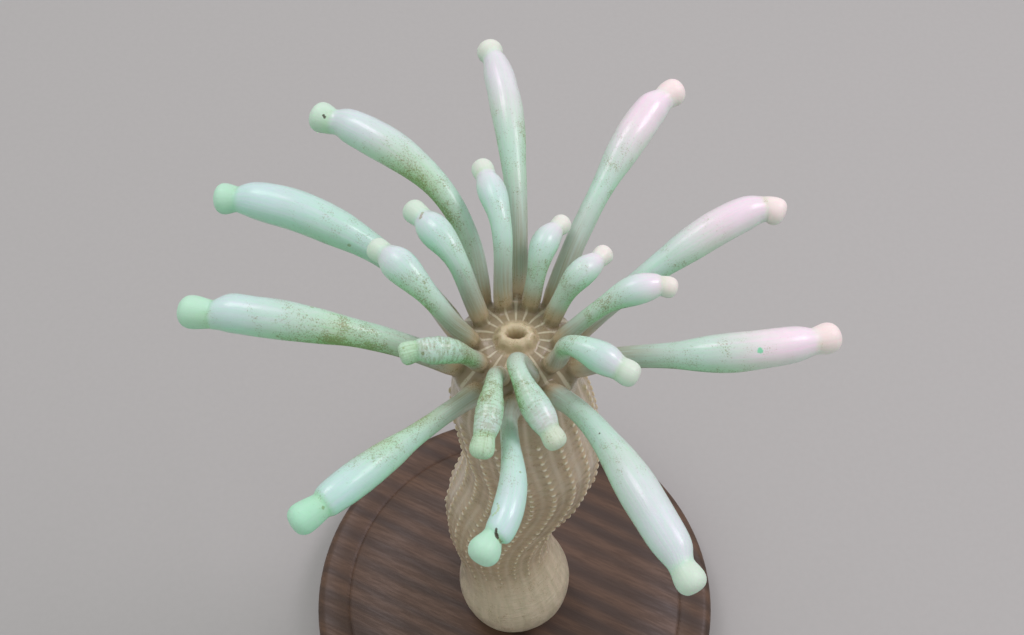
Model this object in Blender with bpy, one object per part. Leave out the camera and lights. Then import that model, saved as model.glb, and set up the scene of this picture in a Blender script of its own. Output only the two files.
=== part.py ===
# A burrowing sea anemone with knobbed tentacles, life-size, on a round wooden base.
# Metres, +Z up. The middle of the base's underside is the world origin.
import math

import bmesh
import bpy
from mathutils import Matrix, Vector

MM = 0.001
UP = Vector((0, 0, 1))
BACK = Vector((0, 1, 0))
GAP = 0.3 * MM  # between pieces that meet

# Base
BASE_RADIUS = 32 * MM
BASE_HEIGHT = 7 * MM
BASE_SIDES = 48
BASE_EDGE = 1.5 * MM

# Column, from the rim of its top down to the foot. Each key is a depth and a radius.
COLUMN_LENGTH = 76 * MM
COLUMN_SIDES = 40
COLUMN_KEYS = (
    (0, 7.5),
    (3, 7.0),
    (6, 7.5),
    (13, 8.2),
    (25, 8.6),
    (38, 8.3),
    (50, 7.5),
    (57, 6.8),
    (63, 7.6),
    (68.5, 8.6),
    (72.5, 8.1),
    (75, 6.4),
    (76, 4.8),
)
CAPITULUM_DEPTHS = (0, 1.5, 3, 4.8, 6.5)
SCAPUS_UPPER_DEPTHS = (6.5, 9, 13, 18, 24, 30)
SCAPUS_LOWER_DEPTHS = (30, 36, 42, 48, 53, 57)
PHYSA_DEPTHS = (57, 60, 63, 66, 69, 72, 74, 75.3, 76)
SWAY_SIDE = 3.5 * MM
SWAY_BACK = 2.0 * MM
ROWS = 20  # rows of vesicles, each one low ridge here
RIDGE = 0.018  # of the column's radius
RIDGE_DEPTHS = (5, 10, 52, 62)  # where the ridges start, are full, begin to fade and end

# Crown. Heights are measured from the crown plane, the level on which the tentacles lie.
RIM_DEPTH = 9 * MM
CROWN_HEIGHT = BASE_HEIGHT + GAP + COLUMN_LENGTH + RIM_DEPTH
ROOTS = 20  # places for tentacles round the disc, inner and outer in turn
FIRST_OUTER = 17  # azimuth of the first outer tentacle, degrees
DISC_PROFILE = ((7.5, -9.0), (7.45, -8.7), (5.35, -6.6), (3.4, -5.7), (2.8, -5.6))
LIPS_PROFILE = ((2.2, -5.3), (2.1, -4.7), (1.55, -4.1), (1.0, -4.1), (0.6, -4.7))
LIPS_SIDES = 16
LIPS_NARROW = 0.8

# Tentacles. A spine leaves the disc at its root, rises, arches over and lies down outwards.
OUTER = dict(
    label="outer",
    first=FIRST_OUTER,
    root=6.8 * MM,
    depth=7.7 * MM,
    rise=45,
    lift=11 * MM,
    dip=5,
    root_radius=1.35 * MM,
    stalk=0.56,
    sides=12,
    stalk_sides=8,
    stalk_rings=3,
    shaft_rings=7,
)
INNER = dict(
    label="inner",
    first=FIRST_OUTER + 18,
    root=4.75 * MM,
    depth=6.0 * MM,
    rise=65,
    lift=7.5 * MM,
    dip=12,
    root_radius=1.1 * MM,
    stalk=0.6,
    sides=10,
    stalk_sides=0,
    stalk_rings=0,
    shaft_rings=8,
)
# Each row is one tentacle, anticlockwise from the first: lean of the knob from the root's
# azimuth, turn of the spine at the root and sweep of its end (degrees); reach of the knob,
# its height over the crown plane, length of the end's straighter part, length of the swollen
# part, and diameters of shaft and knob (millimetres).
OUTER_POSES = (
    (6, -1, -41, 31.0, 1.7, 4.5, 15.2, 4.1, 3.1),
    (5, 17, -21, 34.5, 1.7, 3.0, 15.8, 4.4, 3.1),
    (6, -7, 8, 35.5, 1.7, 10.0, 16.1, 4.3, 3.3),
    (6, -30, 24, 33.5, 1.7, 13.0, 19.0, 4.5, 3.5),
    (-4, -13, 13, 34.0, 1.7, 12.0, 16.1, 4.4, 3.5),
    (-15, -9, -15, 33.0, 1.7, 12.0, 17.4, 4.8, 3.6),
    (-3, 18, -5, 31.0, 1.7, 5.0, 14.2, 3.7, 3.5),
    (-5, -16, -28, 27.5, 1.7, 9.0, 13.2, 3.2, 3.2),
    (-7, -1, -4, 33.5, 1.7, 10.0, 19.9, 4.3, 3.2),
    (11, 5, 26, 32.0, 1.7, 9.5, 14.2, 4.4, 3.3),
)
INNER_POSES = (
    (4, 4, 12, 12.0, -0.6, 4.5, 7.0, 3.1, 2.3),
    (-4, -6, -15, 12.5, -0.4, 4.5, 7.0, 3.1, 2.3),
    (-5, -13, 9, 18.0, 2.2, 9.0, 9.2, 3.4, 2.5),
    (-10, -2, -3, 16.0, 2.0, 6.5, 8.2, 3.7, 2.7),
    (-21, 28, -18, 15.5, 3.0, 3.0, 7.6, 3.6, 2.6),
    (-6, 24, -32, 12.5, 1.6, 3.0, 7.0, 3.0, 2.5),
    (8, 0, -4, 17.5, 2.6, 5.5, 7.0, 2.9, 2.5),
    (-3, -5, 20, 16.0, 1.6, 9.5, 7.0, 3.2, 2.4),
    (2, -5, 10, 14.0, 1.6, 7.0, 6.9, 3.4, 2.5),
    (9, -9, -17, 16.5, 1.6, 3.0, 8.0, 3.1, 2.3),
)
SPINE_STEPS = 60
NECK = 0.84  # radius of the neck over the knob's
NECK_AT = 1.05  # knob radii from the knob's middle back to the neck
KNOB_RINGS = (0.62, 0.25, -0.2, -0.62, -0.9)  # knob radii back from its middle
WIDEST = 0.36  # of the swollen part, from the neck
TAPER = 1.25  # swollen parts from the neck to where the taper ends


def clear_scene():
    for thing in list(bpy.data.objects):
        bpy.data.objects.remove(thing, do_unlink=True)


def make_material(name, colour, roughness, metallic=0.0):
    material = bpy.data.materials.new(name)
    material.use_nodes = True
    shader = material.node_tree.nodes["Principled BSDF"]
    shader.inputs["Base Color"].default_value = (*colour, 1.0)
    shader.inputs["Roughness"].default_value = roughness
    shader.inputs["Metallic"].default_value = metallic
    return material


def add_object(name, bm, material, sharp_angle=40):
    bmesh.ops.recalc_face_normals(bm, faces=bm.faces)
    mesh = bpy.data.meshes.new(name)
    bm.to_mesh(mesh)
    bm.free()
    mesh.shade_smooth()
    mesh.set_sharp_from_angle(angle=math.radians(sharp_angle))
    mesh.materials.append(material)
    thing = bpy.data.objects.new(name, mesh)
    bpy.context.scene.collection.objects.link(thing)
    return thing


def heading(azimuth):
    """The horizontal direction at this azimuth, in degrees."""
    turn = math.radians(azimuth)
    return Vector((math.cos(turn), math.sin(turn), 0))


def station(middle, along, wide, high=None, beside=UP):
    """The matrix that puts a unit circle at a point, square to one direction and turned by another."""
    side = beside.cross(along).normalized()
    up = along.cross(side)
    axes = Matrix((side * wide, up * (high or wide), along * wide)).transposed()
    return Matrix.Translation(middle) @ axes.to_4x4()


def tube(name, sides, stations, material, pole=None, ridges=None, turn=0.0):
    """A closed tube through the stations, with flat ends or a pole. Blender's circle starts at +Y."""
    bm = bmesh.new()
    spun = Matrix.Rotation(math.radians(turn), 4, "Z")
    made = bmesh.ops.create_circle(bm, cap_ends=True, segments=sides, radius=1)
    loop = made["verts"]
    bmesh.ops.transform(bm, matrix=stations[0] @ spun, verts=loop)
    edges = list(bm.edges)
    rings = [loop]
    for before, after in zip(stations, stations[1:]):
        grown = bmesh.ops.extrude_edge_only(bm, edges=edges)["geom"]
        loop = [item for item in grown if isinstance(item, bmesh.types.BMVert)]
        edges = [item for item in grown if isinstance(item, bmesh.types.BMEdge)]
        bmesh.ops.transform(bm, matrix=after @ before.inverted(), verts=loop)
        rings.append(loop)
    bmesh.ops.contextual_create(bm, geom=edges)
    if pole:
        bmesh.ops.poke(bm, faces=[face for face in bm.faces if set(face.verts) == set(loop)])
        bm.verts.ensure_lookup_table()
        bm.verts[-1].co = pole
    for ring, place, height in zip(rings, stations, ridges or ()):
        swell_ridges(ring, place.translation, height)
    return add_object(name, bm, material)


def swell_ridges(ring, middle, height):
    """Lifts a ring's vertices into the rows of vesicles and lowers those between."""
    for vertex in ring:
        out = vertex.co - middle
        wave = math.cos(ROWS * (math.atan2(out.y, out.x) - math.radians(FIRST_OUTER)))
        vertex.co = middle + out * (1 + height * wave)


def through(keys, x):
    """A smooth curve through the keys, read at x."""
    last = len(keys) - 2
    here = min(last, max(0, sum(1 for key in keys if key[0] <= x) - 1))
    (x0, y0), (x1, y1) = keys[here], keys[here + 1]

    def slope(k):
        low, high = keys[max(0, k - 1)], keys[min(last + 1, k + 1)]
        return (high[1] - low[1]) / (high[0] - low[0])

    span = x1 - x0
    t = (x - x0) / span
    bend = (1 + 2 * t) * (1 - t) ** 2 * y0 + t * t * (3 - 2 * t) * y1
    return bend + span * t * (1 - t) * ((1 - t) * slope(here) - t * slope(here + 1))


def smooth_step(low, high, x):
    t = min(1.0, max(0.0, (x - low) / (high - low)))
    return t * t * (3 - 2 * t)


def column_middle(depth):
    """The column's midline sways gently and is upright at both ends."""
    u = depth / COLUMN_LENGTH
    ease = math.sin(math.pi * u) ** 2
    height = CROWN_HEIGHT - RIM_DEPTH - depth
    return Vector((SWAY_SIDE * ease * math.sin(2 * math.pi * u), SWAY_BACK * ease, height))


def column_station(depth):
    step = 0.2 * MM
    middle = column_middle(depth)
    downwards = (column_middle(depth + step) - column_middle(depth - step)).normalized()
    if min(depth, COLUMN_LENGTH - depth) < 1 * MM:
        downwards = -UP
    return station(middle, downwards, through(COLUMN_KEYS, depth / MM) * MM, beside=BACK)


def ridge_height(depth):
    start, full, fading, end = RIDGE_DEPTHS
    return RIDGE * smooth_step(start, full, depth) * (1 - smooth_step(fading, end, depth))


def column_piece(name, depths, material):
    """One length of the column. It starts a gap below the piece above it."""
    places = [depths[0] * MM + GAP] + [depth * MM for depth in depths[1:]]
    stations = [column_station(depth) for depth in places]
    ridges = [ridge_height(depth / MM) for depth in places]
    tube(name, COLUMN_SIDES, stations, material, ridges=ridges, turn=-FIRST_OUTER)


def lathe(name, sides, profile, material, narrow=1.0, turn=0.0):
    levels = []
    for radius, height in profile:
        middle = UP * (CROWN_HEIGHT + height * MM)
        wide, deep = radius * MM, radius * narrow * MM
        levels.append(station(middle, UP, wide, deep, beside=BACK))
    tube(name, sides, levels, material, turn=turn)


def make_base(material):
    bm = bmesh.new()
    middle = Matrix.Translation((0, 0, BASE_HEIGHT / 2))
    size = dict(radius1=BASE_RADIUS, radius2=BASE_RADIUS, depth=BASE_HEIGHT)
    bmesh.ops.create_cone(bm, cap_ends=True, segments=BASE_SIDES, matrix=middle, **size)
    top = [edge for edge in bm.edges if all(v.co.z > BASE_HEIGHT * 0.9 for v in edge.verts)]
    bmesh.ops.bevel(bm, geom=top, offset=BASE_EDGE, segments=3, profile=0.5, affect="EDGES")
    add_object("stand_base", bm, material, sharp_angle=30)


def spine_of(ring, number, pose):
    """Points from the root to the tip, and the length from the root to each."""
    lean, turn, sweep, reach, height, grip, _, _, knob = pose
    azimuth = ring["first"] + 36 * number
    rise = math.radians(ring["rise"])
    dip = math.radians(ring["dip"])
    crown = UP * CROWN_HEIGHT
    root = crown + heading(azimuth) * ring["root"] - UP * ring["depth"]
    leaving = heading(azimuth + turn) * math.cos(rise) + UP * math.sin(rise)
    outwards = heading(azimuth + lean + sweep) * math.cos(dip) - UP * math.sin(dip)
    middle = crown + heading(azimuth + lean) * (reach * MM) + UP * (height * MM)
    arrive = middle - outwards * (grip * MM)
    points = []
    for step in range(SPINE_STEPS + 1):
        t = step / SPINE_STEPS
        near = root * (1 - t) ** 3 + (root + leaving * ring["lift"]) * (3 * t * (1 - t) ** 2)
        points.append(near + arrive * (3 * t * t * (1 - t)) + middle * t**3)
    points.append(middle + outwards * (knob / 2 * MM))
    lengths = [0.0]
    for before, after in zip(points, points[1:]):
        lengths.append(lengths[-1] + (after - before).length)
    return points, lengths


def along_spine(points, lengths, back):
    """The point and direction this far back from the knob's middle."""
    s = min(lengths[-1], max(0.0, lengths[-2] - back))
    k = next(k for k in range(1, len(lengths)) if lengths[k] >= s)
    step = points[k] - points[k - 1]
    t = (s - lengths[k - 1]) / (lengths[k] - lengths[k - 1])
    return points[k - 1] + step * t, step.normalized()


def tentacle_radius(ring, pose, back, total):
    """Round knob, narrow neck, swollen shaft and a long taper to the stalk."""
    swollen, shaft, knob = pose[6] * MM, pose[7] / 2 * MM, pose[8] / 2 * MM
    neck, stalk = knob * NECK, shaft * ring["stalk"]
    neck_at = knob * NECK_AT
    if back < neck_at:
        ball = math.sqrt(max(0.0, knob**2 - back**2))
        blend = smooth_step(0.3 * knob, neck_at, back)
        return ball * (1 - blend) + neck * blend
    u = (back - neck_at) / (swollen - neck_at)
    if u < WIDEST:
        return neck + (shaft - neck) * (1 - (1 - u / WIDEST) ** 2.4)
    fall = min(1.0, (u - WIDEST) / (TAPER - WIDEST))
    thin = stalk + (shaft - stalk) * (0.5 + 0.5 * math.cos(math.pi * fall))
    return thin + (ring["root_radius"] - stalk) * smooth_step(total - 5 * MM, total, back)


def make_tentacle(ring, number, pose, materials):
    points, lengths = spine_of(ring, number, pose)
    total = lengths[-2]
    knob, swollen = pose[8] / 2 * MM, pose[6] * MM
    name = f"{ring['label']}_tentacle_{number + 1:02d}"

    def places(start, end, rings):
        backs = [start + (end - start) * k / rings for k in range(rings + 1)]
        return [
            station(*along_spine(points, lengths, back), tentacle_radius(ring, pose, back, total))
            for back in backs
        ]

    rise = math.radians(ring["rise"])
    out = heading(ring["first"] + 36 * number) * math.cos(rise) + UP * math.sin(rise)
    foot = station(points[0], out, ring["root_radius"])
    neck_at = knob * NECK_AT
    if ring["stalk_sides"]:
        stalk = [foot] + places(total, swollen + GAP, ring["stalk_rings"])[1:]
        tube(f"{name}_stalk", ring["stalk_sides"], stalk, materials["stalk"])
        shaft = places(swollen, neck_at + GAP, ring["shaft_rings"])
    else:
        shaft = [foot] + places(total, neck_at + GAP, ring["shaft_rings"])[1:]
    tube(f"{name}_shaft", ring["sides"], shaft, materials["shaft"])
    backs = [neck_at] + [knob * back for back in KNOB_RINGS]
    bulb = [
        station(*along_spine(points, lengths, back), tentacle_radius(ring, pose, back, total))
        for back in backs
    ]
    tube(f"{name}_knob", ring["sides"], bulb, materials["knob"], pole=points[-1])


def main():
    clear_scene()
    materials = dict(
        knob=make_material("cream_knob", (0.76, 0.76, 0.66), 0.3),
        shaft=make_material("pale_shaft", (0.62, 0.74, 0.69), 0.25),
        stalk=make_material("dusky_stalk", (0.47, 0.52, 0.42), 0.3),
        disc=make_material("oral_disc_skin", (0.5, 0.48, 0.36), 0.35),
        lips=make_material("lip_skin", (0.62, 0.45, 0.38), 0.3),
        column=make_material("column_skin", (0.62, 0.5, 0.4), 0.4),
        foot=make_material("physa_skin", (0.7, 0.62, 0.55), 0.35),
    )
    wood = make_material("dark_wood", (0.09, 0.045, 0.025), 0.4)
    make_base(wood)
    column_piece("physa", PHYSA_DEPTHS, materials["foot"])
    column_piece("scapus_lower", SCAPUS_LOWER_DEPTHS, materials["column"])
    column_piece("scapus_upper", SCAPUS_UPPER_DEPTHS, materials["column"])
    column_piece("capitulum", CAPITULUM_DEPTHS, materials["column"])
    lathe("oral_disc", ROOTS, DISC_PROFILE, materials["disc"], turn=FIRST_OUTER - 9)
    lathe("mouth_lips", LIPS_SIDES, LIPS_PROFILE, materials["lips"], narrow=LIPS_NARROW)
    for ring, poses in ((OUTER, OUTER_POSES), (INNER, INNER_POSES)):
        for number, pose in enumerate(poses):
            make_tentacle(ring, number, pose, materials)


main()
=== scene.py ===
import math
import bmesh
import bpy
from mathutils import Matrix, Vector, noise


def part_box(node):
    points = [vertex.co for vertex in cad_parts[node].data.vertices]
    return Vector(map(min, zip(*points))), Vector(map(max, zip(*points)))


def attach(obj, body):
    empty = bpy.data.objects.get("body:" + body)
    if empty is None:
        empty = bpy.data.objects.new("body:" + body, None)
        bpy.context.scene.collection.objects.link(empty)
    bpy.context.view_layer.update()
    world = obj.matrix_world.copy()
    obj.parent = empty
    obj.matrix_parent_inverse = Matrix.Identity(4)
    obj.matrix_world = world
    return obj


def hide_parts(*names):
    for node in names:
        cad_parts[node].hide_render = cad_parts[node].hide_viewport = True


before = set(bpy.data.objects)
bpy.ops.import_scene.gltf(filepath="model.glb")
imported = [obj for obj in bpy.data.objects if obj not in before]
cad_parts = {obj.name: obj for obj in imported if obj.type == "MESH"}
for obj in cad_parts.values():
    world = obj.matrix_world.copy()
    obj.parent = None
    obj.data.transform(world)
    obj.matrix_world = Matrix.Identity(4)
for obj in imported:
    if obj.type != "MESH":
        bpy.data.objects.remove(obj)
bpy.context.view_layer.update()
scene = bpy.context.scene

mm = 0.001
up = Vector((0, 0, 1))
print("frame loaded:", len(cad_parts), "nodes")

# places that the solids give
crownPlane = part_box("oral_disc")[1].z + 5.6 * mm  # the level that the tentacles lie on
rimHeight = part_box("oral_disc")[0].z
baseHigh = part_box("stand_base")[1]
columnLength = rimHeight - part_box("physa")[0].z


def heading(azimuth):
    turn = math.radians(azimuth)
    return Vector((math.cos(turn), math.sin(turn), 0))


def smoothStep(low, high, x):
    t = min(1.0, max(0.0, (x - low) / (high - low)))
    return t * t * (3 - 2 * t)


def through(keys, x):  # a smooth curve through the keys, read at x
    last = len(keys) - 2
    here = min(last, max(0, sum(1 for key in keys if key[0] <= x) - 1))
    (x0, y0), (x1, y1) = keys[here], keys[here + 1]

    def slope(k):
        low, high = keys[max(0, k - 1)], keys[min(last + 1, k + 1)]
        return (high[1] - low[1]) / (high[0] - low[0])

    span = x1 - x0
    t = (x - x0) / span
    bend = (1 + 2 * t) * (1 - t) ** 2 * y0 + t * t * (3 - 2 * t) * y1
    return bend + span * t * (1 - t) * ((1 - t) * slope(here) - t * slope(here + 1))


def selectOnly(thing):
    if bpy.context.object and bpy.context.object.mode != "OBJECT":
        bpy.ops.object.mode_set(mode="OBJECT")
    bpy.ops.object.select_all(action="DESELECT")
    thing.select_set(True)
    bpy.context.view_layer.objects.active = thing


def applyModifier(thing, kind, **settings):
    modifier = thing.modifiers.new(kind.lower(), kind)
    for name, value in settings.items():
        setattr(modifier, name, value)
    selectOnly(thing)
    bpy.ops.object.modifier_apply(modifier=modifier.name)


# the camera looks down on the crown from the front
cameraValues = dict(elevation=58, distance=131 * mm, lens=43.95, right=0.42 * mm, rise=-0.58 * mm)


def makeCamera(values):
    tilt = math.radians(values["elevation"])
    ahead = Vector((0, math.cos(tilt), -math.sin(tilt)))
    above = Vector((0, math.sin(tilt), math.cos(tilt)))
    aim = Vector((-values["right"], 0, crownPlane)) + above * values["rise"]
    bpy.ops.object.camera_add(location=aim - ahead * values["distance"], rotation=(math.pi / 2 - tilt, 0, 0))
    camera = bpy.context.object
    camera.name = "camera"
    camera.data.lens = values["lens"]
    camera.data.clip_start = 1 * mm
    camera.data.clip_end = 10
    scene.camera = camera


makeCamera(cameraValues)
print("camera placed")

# the body is a sleeve, grown ring by ring from the foot up to the mouth
bodyValues = dict(
    spokes=60,
    firstSpoke=8,  # azimuth of the first spoke, degrees
    keys=(
        (0, 7.5), (3, 7.0), (6, 7.5), (13, 8.2), (25, 8.6), (38, 8.3), (50, 7.5), (57, 6.8),
        (63, 7.6), (68.5, 8.6), (72.5, 8.1), (75, 6.4), (76, 4.8),
    ),  # depth under the rim and radius, millimetres
    swaySide=3.5 * mm,
    swayBack=2.0 * mm,
    physaStep=1.3,  # ring spacing below the warts, millimetres
    wartStep=0.92,  # ring spacing where warts grow
    wartEnd=57.0,
    topRing=0.4,
    lastRing=75.6,  # depth of the lowest ring of the column
    tightFrom=72,
    tight=0.6,  # share of the ring spacing below that depth
    footRings=(3.4, 4.5),
    footDepth=76.3,
    footGap=0.01 * mm,
    ridge=0.016,  # twenty low ridges, share of the radius
    ridgeSpan=((4, 10), (52, 62)),  # depths where they rise and die out
    uneven=0.035,
    unevenSpan=((1, 6), (72, 75)),
    lumps=(1.3, 0.13),  # how close they stand, round the column and down it
    domeRows=((7.36, -8.66), (6.76, -8.06), (6.14, -7.44), (5.58, -6.86), (5.36, -6.6)),
    innerRows=((5.2, -6.52), (4.74, -6.32), (4.28, -6.1), (3.82, -5.88)),
    discRows=((3.45, -5.74), (3.05, -5.64), (2.65, -5.58)),
    lipRows=(
        (2.3, -5.5, 0.88), (2.22, -5.05, 0.82), (2.05, -4.55, 0.8), (1.66, -4.2, 0.74), (1.26, -4.2, 0.62),
        (1.0, -4.55, 0.5), (0.88, -5.2, 0.42), (0.76, -6.2, 0.4), (0.6, -7.2, 0.4),
    ),  # radius, height, share of the radius across
    lipFold=0.05,
)
attributeNames = (
    "who", "limb", "knob", "dusky", "dust", "pinkLight", "crease", "wart", "disc", "lips", "ridge", "folds",
)


def columnMiddle(depth):  # sways gently, upright at both ends
    u = depth / columnLength
    ease = math.sin(math.pi * u) ** 2
    side = bodyValues["swaySide"] * ease * math.sin(2 * math.pi * u)
    return Vector((side, bodyValues["swayBack"] * ease, rimHeight - depth))


def ridgeWave(azimuth):
    return math.cos(math.radians(20 * (azimuth - outerValues["first"])))


def columnRow(depth):  # depth in millimetres
    middle = columnMiddle(depth * mm)
    down = (columnMiddle(depth * mm + 0.1 * mm) - columnMiddle(depth * mm - 0.1 * mm)).normalized()
    if min(depth, columnLength / mm - depth) < 1:
        down = -up
    tilt = (-up).rotation_difference(down)
    radius = through(bodyValues["keys"], depth) * mm
    starts, ends = bodyValues["ridgeSpan"]
    ridge = bodyValues["ridge"] * smoothStep(*starts, depth) * (1 - smoothStep(*ends, depth))
    starts, ends = bodyValues["unevenSpan"]
    uneven = bodyValues["uneven"] * smoothStep(*starts, depth) * (1 - smoothStep(*ends, depth))
    lumpAround, lumpDown = bodyValues["lumps"]

    def place(azimuth):
        out = heading(azimuth)
        swell = ridge * ridgeWave(azimuth)
        swell += uneven * noise.noise(Vector((out.x * lumpAround, out.y * lumpAround, depth * lumpDown)))
        return middle + tilt @ (out * radius * (1 + swell))

    return dict(kind="column", depth=depth, place=place)


def discRow(radius, height, narrow=1.0, fold=0.0, kind="disc"):
    def place(azimuth):
        out = heading(azimuth) * (radius * mm * (1 + fold * math.cos(math.radians(10 * azimuth))))
        return Vector((out.x, out.y * narrow, crownPlane + height * mm))

    return dict(kind=kind, depth=-radius, place=place)


def footRow(radius):
    middle = Vector((0, 0, baseHigh.z + bodyValues["footGap"]))

    def place(azimuth):
        return middle + heading(azimuth) * (radius * mm)

    return dict(kind="column", depth=bodyValues["footDepth"], place=place)


def spacedDepths(values):
    depths = [values["lastRing"]]
    while depths[-1] > values["wartEnd"] + values["physaStep"]:
        share = values["tight"] if depths[-1] > values["tightFrom"] else 1
        depths.append(depths[-1] - values["physaStep"] * share)
    while depths[-1] > values["topRing"] + values["wartStep"]:
        depths.append(depths[-1] - values["wartStep"])
    return depths + [values["topRing"]]


def bodyRows(values):
    rows = [footRow(radius) for radius in values["footRings"]]
    rows += [columnRow(depth) for depth in spacedDepths(values)]
    for name in ("domeRows", "innerRows", "discRows"):
        rows += [discRow(*row) for row in values[name]]
    return rows + [discRow(*row, fold=values["lipFold"], kind="lips") for row in values["lipRows"]]


def growBody(values, rows):
    bpy.ops.object.select_all(action="DESELECT")
    bpy.ops.mesh.primitive_circle_add(vertices=values["spokes"], radius=1, fill_type="NGON")
    skin = bpy.context.object
    skin.name = "anemone_skin"
    bpy.ops.object.mode_set(mode="EDIT")
    bm = bmesh.from_edit_mesh(skin.data)
    for name in ("row", "spoke"):
        bm.verts.layers.int.new(name)
    for name in ("around", "spot"):
        bm.verts.layers.float_vector.new(name)
    for name in attributeNames:
        bm.verts.layers.float.new(name)
    spokeLayer = bm.verts.layers.int["spoke"]
    spacing = 360 / values["spokes"]
    ordered = sorted(bm.verts, key=lambda v: math.atan2(v.co.y, v.co.x) % (2 * math.pi))
    for number, vertex in enumerate(ordered):
        vertex[spokeLayer] = number
    for index, row in enumerate(rows):
        if index:
            bpy.ops.mesh.extrude_region_move()
        bm = bmesh.from_edit_mesh(skin.data)
        layers = bm.verts.layers
        rowLayer, spokeLayer = layers.int["row"], layers.int["spoke"]
        around, disc, lips = layers.float_vector["around"], layers.float["disc"], layers.float["lips"]
        ridge = layers.float["ridge"]
        for vertex in [v for v in bm.verts if v.select]:
            azimuth = values["firstSpoke"] + spacing * vertex[spokeLayer]
            vertex.co = row["place"](azimuth)
            vertex[rowLayer] = index
            out = heading(azimuth)
            vertex[around] = Vector((out.x, out.y, row["depth"]))
            vertex[ridge] = 0.5 + 0.5 * ridgeWave(azimuth)
            vertex[disc] = float(row["kind"] == "disc")
            vertex[lips] = float(row["kind"] == "lips")
    bmesh.update_edit_mesh(skin.data)
    return skin


# each tentacle grows out of nine faces of the disc
outerValues = dict(
    first=17,
    root=6.8 * mm,
    depth=7.7 * mm,
    rise=45,
    lift=11 * mm,
    dip=5,
    rootRadius=1.35 * mm,
    hole=1.25 * mm,
    stalk=0.56,
    patchRow=7.36,
    pinkLightFade=(0.3, 0.95),  # where the painted pink light fades toward the root, share of the swollen length
    poses=(  # lean, turn, sweep, reach, height, grip, swollen length, shaft and knob diameters
        (6.6, 4.6, -48.4, 30.5, 1.7, 3.0, 15.2, 4.1, 3.1),
        (5.7, 17, -26.4, 34.1, 1.7, 2.4, 15.8, 4.4, 3.3),
        (5.8, -2, 14.6, 35.3, 1.7, 7.5, 16.1, 4.3, 3.15),
        (5.1, -30, 18.2, 33.2, 1.7, 15.1, 18.7, 4.5, 3.6),
        (-4.7, -27, 17, 34.1, 1.7, 8.3, 16.1, 4.4, 3.5),
        (-15.9, -12, -13, 33.0, 1.7, 16.3, 17.4, 4.8, 3.6),
        (-3, 8.5, -15.6, 30.9, 1.7, 3.5, 14.2, 3.7, 3.2),
        (-4.3, -15, -25.8, 27.2, 1.7, 8.9, 13.2, 3.2, 3.2),
        (-6.7, -2, 0.6, 33.6, 1.7, 12.5, 19.9, 4.3, 3.05),
        (11.4, 5, 24.7, 31.7, 1.7, 14.4, 14.2, 4.4, 3.3),
    ),
    forms=(  # neck behind the knob's middle, its share of the knob, front, aside, cant, silt, folds, painted pink light
        (0.95, 0.91, 0.76, -0.2, 0, 0.3, 0, 0.95),
        (1.3, 0.86, 0.86, -0.38, 0, 0.3, 0, 1.0),
        (0.85, 0.79, 0.88, 0, -0.3, 0.45, 0, 0.62),
        (0.9, 0.83, 0.68, 0.5, -0.3, 0.55, 0, 0.33),
        (0.9, 0.81, 0.68, 0.17, 0, 0.25, 0, 0.08),
        (1.85, 0.83, 0.86, 0.5, 0.2, 0.7, 0, 0.12),
        (1.9, 0.82, 0.92, 0.1, 0, 0.7, 0, 0.0),
        (1.45, 0.64, 0.93, -0.38, 0.85, 0.4, 0, 0.1),
        (1.25, 0.84, 0.9, -0.27, 0, 0.4, 0, 0.42),
        (1.3, 0.84, 0.9, -0.11, 0, 0.45, 0, 1.0),
    ),
    girthAt=(0.5, 1.0, 1.8, 3.2, 5.5, 8.5, 11.5, 15.0),  # millimetres behind the neck
    girths=(  # radii there
        (1.53, 1.66, 1.85, 1.91, 1.97, 1.93, 1.62, 1.3),
        (1.55, 1.71, 1.92, 1.99, 2.05, 1.9, 1.5, 1.25),
        (1.38, 1.49, 1.67, 1.85, 1.87, 1.87, 1.71, 1.42),
        (1.46, 1.63, 1.88, 2.03, 2.15, 2.08, 1.8, 1.5),
        (1.64, 1.82, 2.04, 2.21, 2.27, 2.24, 2.08, 1.62),
        (1.74, 1.9, 2.08, 2.11, 2.13, 2.04, 1.8, 1.48),
        (1.58, 1.66, 1.74, 1.8, 1.78, 1.58, 1.2, 1.05),
        (1.3, 1.4, 1.5, 1.53, 1.42, 1.16, 0.98, 0.92),
        (1.4, 1.6, 1.81, 1.94, 2.05, 2.07, 1.88, 1.47),
        (1.52, 1.67, 1.84, 1.95, 2.03, 2.05, 1.8, 1.35),
    ),
)
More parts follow.
